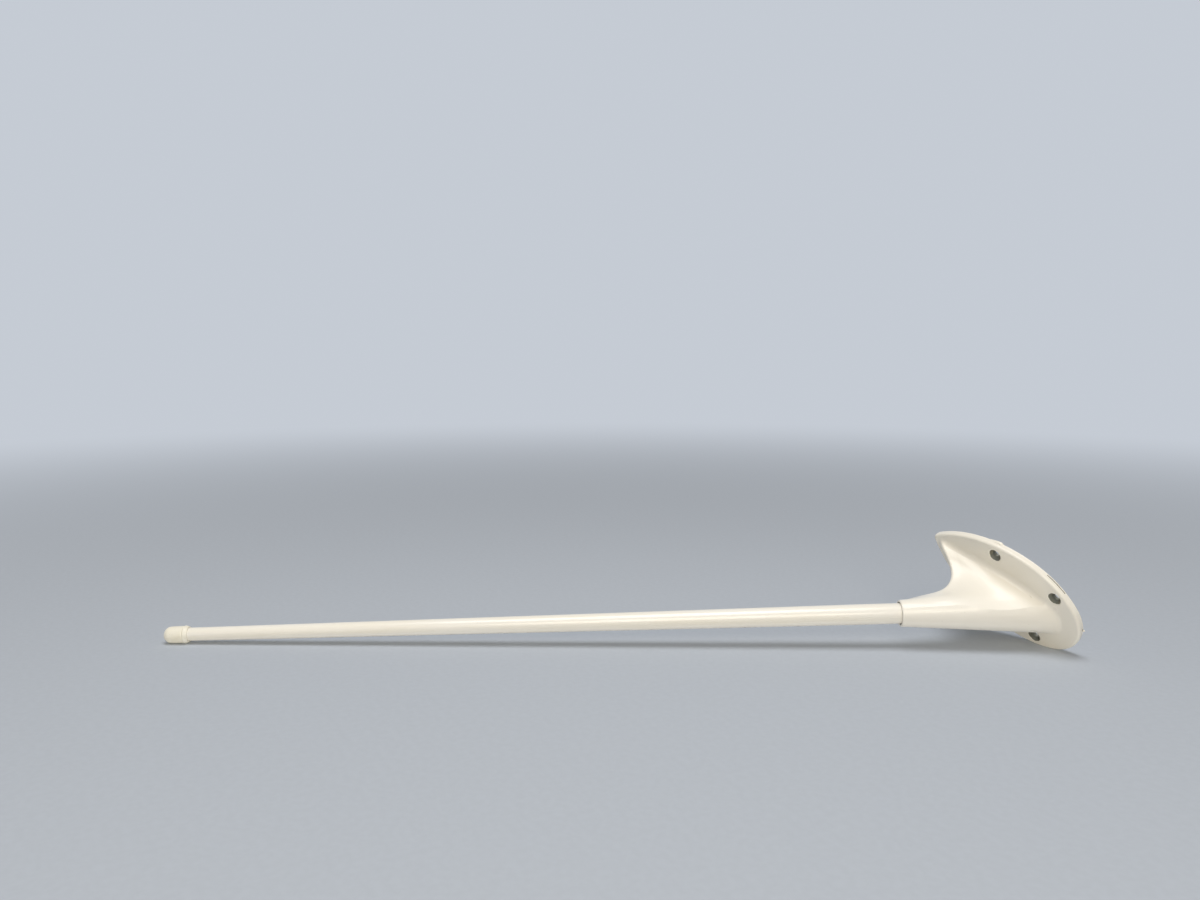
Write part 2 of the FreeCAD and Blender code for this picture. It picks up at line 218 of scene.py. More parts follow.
# %% Table: pale paper
PAPER = (0.50, 0.54, 0.60)
BACKDROP = (0.56, 0.60, 0.66)
FADE_START = 0.30
FADE_END = 1.9
paper = bpy.data.materials.new("pale_paper")
paper.use_nodes = True
paper_nodes = paper.node_tree.nodes
paper_nodes.remove(paper_nodes["Principled BSDF"])
where = add_node(paper, "ShaderNodeTexCoord").outputs["Object"]
matte = add_node(paper, "ShaderNodeBsdfDiffuse")
fibres = spread(paper, add_noise(paper, where, 260.0, 5.0), 0.35, 0.65, 0.0, 1.0)
paper_colour = blend_colours(paper, fibres, PAPER, tuple(0.97 * part for part in PAPER))
join(paper, paper_colour, matte.inputs["Color"])
far_glow = add_node(paper, "ShaderNodeEmission")
far_glow.inputs["Color"].default_value = (*BACKDROP, 1.0)
clear = add_node(paper, "ShaderNodeBsdfTransparent")
distance = add_node(paper, "ShaderNodeVectorMath", operation="LENGTH")
join(paper, where, distance.inputs[0])
far_share = spread(paper, distance.outputs["Value"], FADE_START, FADE_END, 0.0, 1.0)
far_share.node.interpolation_type = "SMOOTHSTEP"
near_or_far = add_node(paper, "ShaderNodeMixShader")
join(paper, far_share, near_or_far.inputs["Fac"])
join(paper, matte.outputs["BSDF"], near_or_far.inputs[1])
join(paper, far_glow.outputs["Emission"], near_or_far.inputs[2])
front_or_back = add_node(paper, "ShaderNodeMixShader")
join(paper, add_node(paper, "ShaderNodeNewGeometry").outputs["Backfacing"], front_or_back.inputs["Fac"])
join(paper, near_or_far.outputs["Shader"], front_or_back.inputs[1])
join(paper, clear.outputs["BSDF"], front_or_back.inputs[2])
join(paper, front_or_back.outputs["Shader"], paper_nodes["Material Output"].inputs["Surface"])
table_mesh.materials.append(paper)
print("paper", PAPER, "fades from", FADE_START, "to", FADE_END, "m out")

# %% [markdown]
# ## Light
# The photograph has one broad soft lamp overhead. A large area lamp above the table does the same, and a
# pale world fills the shaded side. Light thrown back by the room warms the undersides: two fainter lamps,
# one well behind the camera and one below the table, stand for it, and serve the views from behind too.
# The world looks brighter to the camera, and in reflections, than it lights: that gives a pale background
# without burning out the white enamel.

# %% World
SKY_FOR_LIGHT = 0.30
world = bpy.data.worlds.new("studio")
scene.world = world
world.use_nodes = True
sky_nodes = world.node_tree.nodes
sky_links = world.node_tree.links
rays = sky_nodes.new("ShaderNodeLightPath")
seen = sky_nodes.new("ShaderNodeMath")
seen.operation = "MAXIMUM"
sky_links.new(rays.outputs["Is Camera Ray"], seen.inputs[0])
sky_links.new(rays.outputs["Is Glossy Ray"], seen.inputs[1])
sky_for_light = sky_nodes["Background"]
sky_for_light.inputs["Color"].default_value = (1.0, 0.99, 0.97, 1.0)
sky_for_light.inputs["Strength"].default_value = SKY_FOR_LIGHT
sky_to_the_eye = sky_nodes.new("ShaderNodeBackground")
sky_to_the_eye.inputs["Color"].default_value = (*BACKDROP, 1.0)
either = sky_nodes.new("ShaderNodeMixShader")
sky_links.new(seen.outputs["Value"], either.inputs["Fac"])
sky_links.new(sky_for_light.outputs["Background"], either.inputs[1])
sky_links.new(sky_to_the_eye.outputs["Background"], either.inputs[2])
sky_links.new(either.outputs["Shader"], sky_nodes["World Output"].inputs["Surface"])
print("the world lights at", SKY_FOR_LIGHT, "and looks like", BACKDROP)


# %% Lamps
def add_lamp(name, place, target, power, size, colour=(1.0, 1.0, 1.0)):
    data = bpy.data.lights.new(name, "AREA")
    data.energy = power
    data.color = colour
    data.shape = "DISK"
    data.size = size
    lamp = bpy.data.objects.new(name, data)
    lamp.location = place
    lamp.rotation_euler = (target - place).to_track_quat("-Z", "Y").to_euler()
    scene.collection.objects.link(lamp)


middle = up_the_whip(230)
overhead = middle + TABLE_UP * 1.6 - CAMERA_RIGHT * 0.05 - LOOK * 0.35
add_lamp("lamp_overhead", overhead, middle, power=15.0, size=1.1)
front = middle - LOOK * 2.3 + TABLE_UP * 0.8
add_lamp("lamp_front", front, middle, power=22.0, size=1.3, colour=(1.0, 0.90, 0.74))
below = middle - TABLE_UP * 1.2 - LOOK * 0.3
add_lamp("lamp_behind", below, middle, power=4.0, size=1.2, colour=(1.0, 0.92, 0.80))

# %% [markdown]
# ## White enamel
# The fairing is moulded, then sprayed. Sprayed enamel isn't one flat white: it has a faint orange peel,
# and a gloss that changes a little from place to place. Its colour also carries painted shade: it turns
# creamier towards the flange, where the flange and its fillet lie in shade. The colour comes from a slow
# noise and from the height above the flange, the orange peel from a fine noise in the bump, and the wet
# look from the shader's own coat.

# %% Enamel of the fairing
ENAMEL_WHITE = (0.905, 0.868, 0.785)
ENAMEL_CREAM = (0.875, 0.815, 0.675)
DUST = (0.40, 0.34, 0.25)
enamel, enamel_shader, place = start_material("white_enamel")
slow = add_noise(enamel, place, 28.0, 3.0)
height = height_off_skin(enamel, place)
# Painted shade: at most 0.45 of the colour is cream at 6 mm off the skin, by the flange, and at most 0.1
# from 40 mm on.
shade_near_flange_share = spread(enamel, height, 0.040, 0.006, 0.1, 0.45)
shade_and_tone_share = combine(enamel, "MULTIPLY", shade_near_flange_share, spread(enamel, slow, 0.3, 0.7, 0.55, 1.0))
coat_colour = blend_colours(enamel, shade_and_tone_share, ENAMEL_WHITE, ENAMEL_CREAM)
specks = spread(enamel, add_noise(enamel, place, 1100.0, 3.0), 0.715, 0.76, 0.0, 0.35)
coat_colour = blend_colours(enamel, specks, coat_colour, DUST)
join(enamel, coat_colour, enamel_shader.inputs["Base Color"])
join(enamel, spread(enamel, slow, 0.3, 0.7, 0.26, 0.38), enamel_shader.inputs["Roughness"])
enamel_shader.inputs["Coat Weight"].default_value = 0.3
enamel_shader.inputs["Coat Roughness"].default_value = 0.10
add_bump(enamel, enamel_shader, add_noise(enamel, place, 700.0, 2.0), 0.014)
print("enamel:", len(enamel.node_tree.nodes), "nodes")

# %% [markdown]
# ## Whip enamel
# The whip has the same paint over wound glass fibre, so it is smoother, and its slow stains run along it.
# A noise that is squeezed across the whip and stretched along it gives such streaks: the coordinates are
# first turned so that one of them runs up the whip.

# %% Enamel of the whip
WHIP_WHITE = (0.912, 0.878, 0.80)
whip_paint, whip_shader, place = start_material("whip_enamel")
along = add_node(whip_paint, "ShaderNodeMapping")
along.inputs["Rotation"].default_value = (0.0, -(math.pi / 2 - RAKE), 0.0)
join(whip_paint, place, along.inputs["Vector"])
whip_coordinates = along.outputs["Vector"]
streaks = add_noise(whip_paint, whip_coordinates, 60.0, 3.0, stretch=(4.0, 4.0, 0.25))
stain = spread(whip_paint, streaks, 0.35, 0.75, 0.0, 0.6)
whip_colour = blend_colours(whip_paint, stain, WHIP_WHITE, ENAMEL_CREAM)
dots = spread(whip_paint, add_noise(whip_paint, place, 1200.0, 3.0), 0.715, 0.76, 0.0, 0.3)
whip_colour = blend_colours(whip_paint, dots, whip_colour, DUST)
join(whip_paint, whip_colour, whip_shader.inputs["Base Color"])
join(whip_paint, spread(whip_paint, streaks, 0.3, 0.7, 0.22, 0.34), whip_shader.inputs["Roughness"])
whip_shader.inputs["Coat Weight"].default_value = 0.3
whip_shader.inputs["Coat Roughness"].default_value = 0.10
fibre = add_noise(whip_paint, whip_coordinates, 500.0, 2.0, stretch=(1.0, 1.0, 0.2))
add_bump(whip_paint, whip_shader, fibre, 0.008)
print("whip enamel:", len(whip_paint.node_tree.nodes), "nodes")

# %% [markdown]
# ## Cap plastic
# The cap is moulded plastic that has yellowed a little. It is duller than the paint, so it gets no coat.

# %% Plastic of the tip cap
CAP_CREAM = (0.90, 0.865, 0.755)
CAP_YELLOWED = (0.87, 0.82, 0.675)
cap_plastic, cap_shader, place = start_material("cap_plastic")
tone = add_noise(cap_plastic, place, 120.0, 3.0)
cap_tone = spread(cap_plastic, tone, 0.3, 0.7, 0.0, 1.0)
cap_colour = blend_colours(cap_plastic, cap_tone, CAP_CREAM, CAP_YELLOWED)
grime = spread(cap_plastic, add_noise(cap_plastic, place, 900.0, 5.0), 0.62, 0.75, 0.0, 0.25)
cap_colour = blend_colours(cap_plastic, grime, cap_colour, DUST)
join(cap_plastic, cap_colour, cap_shader.inputs["Base Color"])
join(cap_plastic, spread(cap_plastic, tone, 0.3, 0.7, 0.38, 0.52), cap_shader.inputs["Roughness"])
add_bump(cap_plastic, cap_shader, add_noise(cap_plastic, place, 1200.0, 3.0), 0.012)
print("cap plastic:", len(cap_plastic.node_tree.nodes), "nodes")

# %% [markdown]
# ## Metals
# A bare metal is mostly its reflections, so what makes it real is how rough it is from place to place, and
# the fine scratches in its bump. One helper makes them all: nickel for the connector, brass, gold and
# copper for what carries current.


# %% Helper: a scratched metal
def make_metal(name, colour, dark, smooth_to, rough_to, scratch_mm, stretch=(1.0, 1.0, 6.0)):
    material, shader, spot = start_material(name)
    patches = add_noise(material, spot, 220.0, 4.0)
    share = spread(material, patches, 0.35, 0.75, 0.0, 1.0)
    join(material, blend_colours(material, share, colour, dark), shader.inputs["Base Color"])
    shader.inputs["Metallic"].default_value = 1.0
    join(material, spread(material, patches, 0.3, 0.7, smooth_to, rough_to), shader.inputs["Roughness"])
    add_bump(material, shader, add_noise(material, spot, 1800.0, 3.0, stretch=stretch), scratch_mm)
    print(name, "made")
    return material


# %% The metals
post_metal = make_metal("satin_aluminium", (0.60, 0.60, 0.585), (0.42, 0.415, 0.39), 0.30, 0.50, 0.02)
nickel = make_metal("nickel_plate", (0.66, 0.64, 0.60), (0.50, 0.47, 0.42), 0.16, 0.30, 0.008)
brass = make_metal("turned_brass", (0.72, 0.53, 0.24), (0.50, 0.35, 0.14), 0.22, 0.38, 0.01)
gold = make_metal("gold_flash", (0.90, 0.66, 0.26), (0.74, 0.52, 0.20), 0.14, 0.26, 0.005)
copper = make_metal("bare_copper", (0.74, 0.38, 0.22), (0.48, 0.22, 0.12), 0.22, 0.40, 0.01)

# %% [markdown]
# ## Base plate
# The plate is bare metal below, where it meets the skin. Its edge was sprayed with the fairing, and the
# lands that line the screw holes are bare again, and darkened with painted shade, as they lie down in the
# holes. All of that is one piece, so its material asks where each point is: how high off the skin, and how
# near to a screw's axis.
# Folding X and Y with Absolute puts all four screws on one axis, so one distance serves for all.

# %% Metal of the base plate, with its painted edge
BOLT_HALF_PITCH = 22.225
LAND_RADIUS = 5.15
HOLE_SHADE_EDGE = (LAND_RADIUS + 0.1) * MM
PAINT_EDGE = (LAND_RADIUS + 0.2) * MM
BRIGHT_METAL = (0.50, 0.50, 0.49)
DULL_METAL = (0.36, 0.355, 0.335)
SHADED_HOLE_METAL = (0.20, 0.19, 0.135)
plate_metal, plate_shader, place = start_material("plate_metal")
folded = add_node(plate_metal, "ShaderNodeVectorMath", operation="ABSOLUTE")
join(plate_metal, place, folded.inputs[0])
from_screw = add_node(plate_metal, "ShaderNodeVectorMath", operation="SUBTRACT")
join(plate_metal, folded.outputs["Vector"], from_screw.inputs[0])
from_screw.inputs[1].default_value = (BOLT_HALF_PITCH * MM, BOLT_HALF_PITCH * MM, 0.0)
flat = add_node(plate_metal, "ShaderNodeVectorMath", operation="MULTIPLY")
join(plate_metal, from_screw.outputs["Vector"], flat.inputs[0])
flat.inputs[1].default_value = (1.0, 1.0, 0.0)
radius = add_node(plate_metal, "ShaderNodeVectorMath", operation="LENGTH")
join(plate_metal, flat.outputs["Vector"], radius.inputs[0])
off_land = spread(plate_metal, radius.outputs["Value"], HOLE_SHADE_EDGE, PAINT_EDGE, 0.0, 1.0)
off_skin = spread(plate_metal, height_off_skin(plate_metal, place), 0.05 * MM, 0.15 * MM, 0.0, 1.0)
painted = combine(plate_metal, "MULTIPLY", off_land, off_skin)
patches = add_noise(plate_metal, place, 240.0, 4.0)
# Painted shade: the bare lands down in the screw holes are darkened, a little unevenly.
on_land = spread(plate_metal, radius.outputs["Value"], HOLE_SHADE_EDGE, LAND_RADIUS * MM, 0.0, 1.0)
painted_hole_shade = combine(plate_metal, "MULTIPLY", on_land, spread(plate_metal, patches, 0.3, 0.6, 1.0, 0.8))
dull_share = spread(plate_metal, patches, 0.35, 0.75, 0.0, 1.0)
bare = blend_colours(plate_metal, dull_share, BRIGHT_METAL, DULL_METAL)
metal_colour = blend_colours(plate_metal, painted_hole_shade, bare, SHADED_HOLE_METAL)
plate_colour = blend_colours(plate_metal, painted, metal_colour, ENAMEL_WHITE)
join(plate_metal, plate_colour, plate_shader.inputs["Base Color"])
join(plate_metal, spread(plate_metal, painted, 0.0, 1.0, 1.0, 0.0), plate_shader.inputs["Metallic"])
join(plate_metal, spread(plate_metal, patches, 0.3, 0.7, 0.40, 0.60), plate_shader.inputs["Roughness"])
scratches = add_noise(plate_metal, place, 1600.0, 3.0, stretch=(1.0, 1.0, 5.0))
add_bump(plate_metal, plate_shader, scratches, 0.015)
print("plate metal:", len(plate_metal.node_tree.nodes), "nodes")

# %% [markdown]
# ## Rubber, laminate, ferrite and the other dull things
# These share one recipe: two close tones mixed by noise, an even roughness, and a grain in the bump.


# %% Helper: a dull material of two tones
def make_dull(name, first, second, scale, roughness, grain, grain_mm):
    material, shader, spot = start_material(name)
    tones = add_noise(material, spot, scale, 4.0)
    share = spread(material, tones, 0.35, 0.7, 0.0, 1.0)
    join(material, blend_colours(material, share, first, second), shader.inputs["Base Color"])
    rough = spread(material, tones, 0.3, 0.7, roughness - 0.06, roughness + 0.06)
    join(material, rough, shader.inputs["Roughness"])
    add_bump(material, shader, add_noise(material, spot, grain, 3.0), grain_mm)
    print(name, "made")
    return material


# %% The dull materials
seal_rubber = make_dull("seal_rubber", (0.06, 0.055, 0.05), (0.11, 0.10, 0.085), 300.0, 0.62, 1500.0, 0.03)
laminate = make_dull("board_laminate", (0.22, 0.30, 0.10), (0.28, 0.36, 0.14), 500.0, 0.45, 2500.0, 0.01)
ferrite = make_dull("ferrite", (0.035, 0.035, 0.04), (0.06, 0.06, 0.065), 600.0, 0.55, 2000.0, 0.03)
dipped = make_dull("dipped_capacitor", (0.42, 0.16, 0.05), (0.50, 0.22, 0.08), 300.0, 0.30, 800.0, 0.02)
waxy = make_dull("waxy_insulator", (0.86, 0.85, 0.80), (0.80, 0.785, 0.72), 250.0, 0.36, 900.0, 0.01)
# The filler's dark tone is partly painted shade in the seam.
filler_and_seam_shade = make_dull("filler_and_seam_shade", (0.16, 0.135, 0.09), (0.74, 0.69, 0.56), 90.0, 0.6, 1500.0, 0.02)
# Painted shade, for the gaps in the rim: the open joint and the shadow of the chip.
painted_gap_shade = make_dull("painted_gap_shade", (0.05, 0.048, 0.032), (0.16, 0.145, 0.10), 400.0, 0.7, 1500.0, 0.03)

# %% [markdown]
# ## Dressing the CAD pieces
# A CAD piece keeps its mesh. It only gets its finish, and smooth shading wherever two faces meet at less
# than 32 degrees, so that curved faces look curved while real edges stay crisp.

# %% Finish for each piece
finishes = {
    "fairing": enamel,
    "base_plate": plate_metal,
    "whip_tube": whip_paint,
    "tip_cap": cap_plastic,
    "whip_seal": seal_rubber,
    "whip_socket": brass,
    "radiator_rod": copper,
    "feed_wire": copper,
    "matching_board": laminate,
    "board_post_fore": post_metal,
    "board_post_aft": post_metal,
    "toroid_core": ferrite,
    "toroid_winding": copper,
    "capacitor_port": dipped,
    "capacitor_starboard": dipped,
    "coax_shell": nickel,
    "coax_insulator": waxy,
    "coax_contact": gold,
    "lock_washer": nickel,
    "coax_nut": nickel,
}
for name, node in nodes.items():
    node.data.materials.clear()
    node.data.materials.append(finishes[name])
print("pieces without a finish:", sorted(set(nodes) - set(finishes)))

# %% Smooth shading of curved faces
CREASE = math.radians(32)
for node in nodes.values():
    node.data.shade_smooth()
    node.data.set_sharp_from_angle(angle=CREASE)
print("shaded", len(nodes), "pieces")

# %% [markdown]
# ## Making new pieces
# A new piece is a mesh whose points are worked out in the antenna's own frame, so its object stays at the
# origin. The helper closes the mesh work the same way for all of them: normals outward, smooth shading,
# finish, and the body that it rides on.


# %% Helper: turn a bmesh into a piece
def finish_piece(name, shaper, material):
    bmesh.ops.remove_doubles(shaper, verts=shaper.verts, dist=0.0005 * MM)
    bmesh.ops.recalc_face_normals(shaper, faces=shaper.faces)
    mesh = bpy.data.meshes.new(name)
    shaper.to_mesh(mesh)
    shaper.free()
    mesh.shade_smooth()
    mesh.set_sharp_from_angle(angle=CREASE)
    mesh.materials.append(material)
    piece = bpy.data.objects.new(name, mesh)
    scene.collection.objects.link(piece)
    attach(piece, "root")
    print(name, len(mesh.polygons), "faces")
    return piece


# %% Helper: spin a profile, and a rounding for it
def spin(name, profile, start, axis, material, segments=96, wobble=None):
    """Profile points are (radius, height) in mm; start is in metres; wobble changes them by angle."""
    turn = axis.to_track_quat("Z", "Y")
    shaper = bmesh.new()
    rings = []
    for index, (radius, rise) in enumerate(profile):
        count = segments if radius > 1e-6 else 1
        ring = []
        for step in range(count):
            angle = 2 * math.pi * step / segments
            out, up = wobble(index, angle, radius, rise) if wobble else (radius, rise)
            spoke = Vector((out * math.cos(angle), out * math.sin(angle), up)) * MM
            ring.append(shaper.verts.new(start + turn @ spoke))
        rings.append(ring)
    join_rings(shaper, rings, segments)
    return finish_piece(name, shaper, material)


def join_rings(shaper, rings, count):
    for low, high in zip(rings, rings[1:]):
        for step in range(count):
            after = (step + 1) % count
            corners = [low[step % len(low)], low[after % len(low)],
                       high[after % len(high)], high[step % len(high)]]
            corners = list(dict.fromkeys(corners))
            if len(corners) > 2:
                shaper.faces.new(corners)


def arc(centre_r, centre_h, radius, start_deg, end_deg, steps=8):
    """Points of a rounding, by angle from straight out."""
    points = []
    for step in range(steps + 1):
        angle = math.radians(start_deg + (end_deg - start_deg) * step / steps)
        points.append((centre_r + radius * math.cos(angle), centre_h + radius * math.sin(angle)))
    return points


# %% [markdown]
# ## Tip cap
# The CAD cap has a nose of a few flat steps. The real one is moulded with a smooth dome. Its collar slopes
# down to the whip, and a fine groove parts it from the cap. So a finer turned piece of the same length
# stands for the CAD cap.

# %% Cap with a rounded nose
CAP_START = 564.1
CAP_LENGTH = 16.7
CAP_RADIUS = 5.65
COLLAR_RADIUS = 5.9
COLLAR_LENGTH = 3.4
NOSE_ROUNDING = 4.8
cap_profile = [(4.42, 0.0)]
cap_profile += arc(4.95, 0.3, 0.3, -90, -10, 5)
cap_profile += arc(COLLAR_RADIUS - 0.8, COLLAR_LENGTH - 1.0, 0.8, -30, 60, 10)
cap_profile += [(COLLAR_RADIUS - 0.5, COLLAR_LENGTH - 0.16), (COLLAR_RADIUS - 0.52, COLLAR_LENGTH + 0.04)]
cap_profile += arc(CAP_RADIUS - 0.25, COLLAR_LENGTH + 0.32, 0.22, -60, 0, 5)
cap_profile += [(CAP_RADIUS - 0.08, 9.0)]
cap_profile += arc(CAP_RADIUS - 0.18 - NOSE_ROUNDING, CAP_LENGTH - NOSE_ROUNDING, NOSE_ROUNDING, 0, 90, 16)
cap_profile += [(0.0, CAP_LENGTH)]
tip_cap = spin("tip_cap_moulded", cap_profile, up_the_whip(CAP_START), WHIP_AXIS, cap_plastic)
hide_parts("tip_cap")

# %% [markdown]
# ## Outline of the flange
# Seen from above, the flange is a teardrop of six arcs: a nose, two shoulders, two long tail arcs, and a
# small one that blunts the aft point. Drawing each arc smaller by the same amount gives a parallel outline,
# so one function serves for every strip that runs round the rim.

# %% Helper: the flange's outline, drawn in by inset
FLANGE_MID_X = -1.0
FLANGE_HALF_WIDTH = 34.2
NOSE_LENGTH = 45.2
NOSE_RADIUS = 28.0
TAIL_LENGTH = 67.0
TIP_RADIUS = 3.2
TAIL_RADIUS = (TAIL_LENGTH ** 2 + FLANGE_HALF_WIDTH ** 2) / (2 * FLANGE_HALF_WIDTH)
TAIL_DROP = TAIL_RADIUS - FLANGE_HALF_WIDTH
NOSE_RUN = NOSE_LENGTH - NOSE_RADIUS
SHOULDER_RADIUS = (NOSE_RUN ** 2 + FLANGE_HALF_WIDTH ** 2 - NOSE_RADIUS ** 2) / (
    2 * (FLANGE_HALF_WIDTH - NOSE_RADIUS))
SHOULDER_DROP = SHOULDER_RADIUS - FLANGE_HALF_WIDTH
TIP_RUN = math.sqrt((TAIL_RADIUS - TIP_RADIUS) ** 2 - TAIL_DROP ** 2)
MEET = math.degrees(math.atan2(SHOULDER_DROP, NOSE_RUN))
AFT = 90 + math.degrees(math.asin(TIP_RUN / (TAIL_RADIUS - TIP_RADIUS)))
RIM_ARCS = [
    ((-NOSE_RUN, 0.0), NOSE_RADIUS, -MEET, MEET, 40),
    ((0.0, -SHOULDER_DROP), SHOULDER_RADIUS, MEET, 90, 30),
    ((0.0, -TAIL_DROP), TAIL_RADIUS, 90, AFT, 50),
    ((TIP_RUN, 0.0), TIP_RADIUS, AFT, 360 - AFT, 16),
    ((0.0, TAIL_DROP), TAIL_RADIUS, 360 - AFT, 270, 50),
    ((0.0, SHOULDER_DROP), SHOULDER_RADIUS, 270, 360 - MEET, 30),
]
# The facets of the CAD flange cut a hair off its nose, and no strip may reach further forward than they do.
FORE_LIMIT = cad_bounds[0][0] / MM + 0.002


def rim_outline(inset):
    """Points (x, y) in mm, from the nose's port end round the nose; angles are from straight forward."""
    points = []
    for (centre_x, centre_y), radius, start, end, steps in RIM_ARCS:
        for step in range(steps):
            angle = math.radians(start + (end - start) * step / steps)
            x = FLANGE_MID_X + centre_x - (radius - inset) * math.cos(angle)
            points.append((max(x, FORE_LIMIT), centre_y + (radius - inset) * math.sin(angle)))
    return points


print("outline of", len(rim_outline(0.0)), "points, from x", round(min(p[0] for p in rim_outline(0.0)), 2))


# %% Helper: sweep a closed profile round the rim
def sweep_rim(name, profile, material):
    """Profile points are (inset, height) in mm, in order round the strip's section."""
    shaper = bmesh.new()
    rings = []
    for inset, rise in profile:
        rings.append([shaper.verts.new(Vector((x, y, rise)) * MM) for x, y in rim_outline(inset)])
    join_rings(shaper, rings + rings[:1], len(rings[0]))
    finish_piece(name, shaper, material)


# %% [markdown]
# ## Rim of the flange
# The paint rounds the flange's top corner and wraps its edge. The CAD rim has a flat bevel there, as its
# facets are few. A strip with a true quarter round lies on that bevel and touches the top face and the
# side, so the shading runs on without a crease. Its lower edge turns in at the joint with the plate. On top
# it lies a hair above the flange, so that the two faces don't show through each other.

# %% Painted rim
FLANGE_TOP = 4.8
PLATE_TOP = 1.3
RIM_ROUNDING = 1.6
ROUNDING_STEPS = 10
HAIR = 0.004
rim_profile = [(RIM_ROUNDING + 0.5, FLANGE_TOP + HAIR)]
for step in range(ROUNDING_STEPS + 1):
    angle = math.pi / 2 * step / ROUNDING_STEPS
    rise = FLANGE_TOP - RIM_ROUNDING * (1 - math.cos(angle)) + HAIR * math.cos(angle)
    rim_profile.append((RIM_ROUNDING * (1 - math.sin(angle)), rise))
rim_profile += [(0.0, PLATE_TOP + 0.22), (0.06, PLATE_TOP + 0.10), (0.20, PLATE_TOP + 0.04)]
rim_profile += [(0.60, PLATE_TOP + 0.30), (RIM_ROUNDING + 0.9, FLANGE_TOP - 0.5)]
sweep_rim("painted_rim", rim_profile, enamel)

# %% [markdown]
# ## Joint between fairing and plate
# A hairline of filler shows between the painted rim and the plate's edge: cream where the paint still
# holds;
# dark in patches, which are partly filler where the paint has cracked over it and partly painted shade in
# the seam. It is a thin strip in the step between the two.

# %% Filler in the joint
filler_profile = [(0.17, PLATE_TOP + 0.09), (0.17, PLATE_TOP - 0.08), (0.60, PLATE_TOP - 0.10),
                  (0.60, PLATE_TOP + 0.12)]
sweep_rim("joint_filler_strip", filler_profile, filler_and_seam_shade)

# %% [markdown]
# ## Screw holes
# The paint runs over each land's edge and a little way down the countersink, and stops in an uneven ring
# where the screw head used to sit. So each hole gets a thin ring of paint. Its inner edge wavers: a few
# sines of different counts, shifted from hole to hole, look random but give the same ring each time.

# %% Paint round each screw hole
SINK_RADIUS = 4.7
SINK_SLOPE = math.tan(math.radians(50))
PAINT_DEPTH = 0.42
PAINT_WAVER = 0.16
COAT = 0.05


def on_sink(depth):
    """Radius of the countersink, so far below the flange's top."""
    return SINK_RADIUS - depth * SINK_SLOPE


def paint_ring(name, centre, phase):
    profile = [(5.75, FLANGE_TOP - 0.03), (5.60, FLANGE_TOP + 0.03), (5.20, FLANGE_TOP + COAT),
               (SINK_RADIUS + 0.15, FLANGE_TOP + COAT), (SINK_RADIUS - 0.08, FLANGE_TOP - 0.01),
               (on_sink(PAINT_DEPTH) - COAT, FLANGE_TOP - PAINT_DEPTH + 0.02),
               (on_sink(PAINT_DEPTH) + 0.02, FLANGE_TOP - PAINT_DEPTH - 0.03),
               (SINK_RADIUS + 0.1, FLANGE_TOP - 0.08)]
    # Only the two points of the profile that lie down in the countersink waver.
    inner_edge = (5, 6)

    def waver(index, angle, radius, rise):
        if index not in inner_edge:
            return radius, rise
        wave = 0.5 * math.sin(2 * angle + phase) + 0.3 * math.sin(5 * angle + 2.3 * phase)
        wave += 0.2 * math.sin(11 * angle + 4.1 * phase)
        depth = PAINT_WAVER * wave
        return radius - depth * SINK_SLOPE, rise - depth

    spin(name, profile + profile[:1], centre, UP, enamel, 72, waver)


for fore, fore_name in ((-1, "fore"), (1, "aft")):
    for side, side_name in ((-1, "port"), (1, "starboard")):
        screw = Vector((fore * BOLT_HALF_PITCH, side * BOLT_HALF_PITCH, 0.0)) * MM
        paint_ring("hole_paint_" + fore_name + "_" + side_name, screw, 1.7 * fore + 0.9 * side)

# %% [markdown]
# ## Marks on the rim
# Three small marks show along the rim: a run in the paint, which has dried as a low bump with a steep fore
# end; a stretch where the joint has opened, shown as a thin dark strip of painted shade; and a chip near
# the nose, where a flake of paint stands off beside a small dark patch of painted shadow. They break the
# outline or the light on the rim, so all are shapes and not only colour.

# %% Helper: a bead that follows the rim
BEAD_ROOT = 0.3
BEAD_BENDS = 7


def rim_bead(name, start, end, low, high, proud_at, material, steps=16):
    """A bead from rim position start to end, fullest at its lower edge and rooted a little way in.

    Positions are in outline points and may fall between two of them. The bead lies between the heights low
    and high, and proud_at gives how far it stands out, in mm, by the share along it.
    """
    outer = rim_outline(0.0)
    inner = rim_outline(0.8)
    shaper = bmesh.new()
    rings = []
    for step in range(steps + 1):
        share = step / steps
        at = start + (end - start) * share
        near = int(at)
        beside = (near + 1) % len(outer)
        part = at - near
        out = Vector((*outer[near], 0.0)).lerp(Vector((*outer[beside], 0.0)), part)
        back = Vector((*inner[near], 0.0)).lerp(Vector((*inner[beside], 0.0)), part)
        outward = (out - back).normalized()
        section = [(-BEAD_ROOT, low)]
        for bend in range(BEAD_BENDS + 1):
            angle = math.pi / 2 * bend / BEAD_BENDS
            section.append((proud_at(share) * math.cos(angle), low + (high - low) * math.sin(angle)))
        section.append((-BEAD_ROOT, high))
        spots = [out + outward * reach + UP * rise for reach, rise in section]
        rings.append([shaper.verts.new(spot * MM) for spot in spots])
    join_rings(shaper, rings, len(rings[0]))
    shaper.faces.new(rings[0])
    shaper.faces.new(rings[-1])
    finish_piece(name, shaper, material)


def rim_position(x, y):
    """Index of the outline point that is nearest to (x, y), in mm."""
    points = rim_outline(0.0)
    return min(range(len(points)), key=lambda k: math.dist(points[k], (x, y)))


# %% Run in the paint
def run_height(share):
    swell = math.sin(math.pi / 2 * min(1.0, share / 0.8)) ** 1.5
    return 0.03 + 0.95 * swell * min(1.0, (1.0 - share) / 0.14)


run_start = rim_position(30.0, -28.0)
rim_bead("paint_run", run_start, run_start + 6.0, 0.06, 1.9, run_height, enamel)

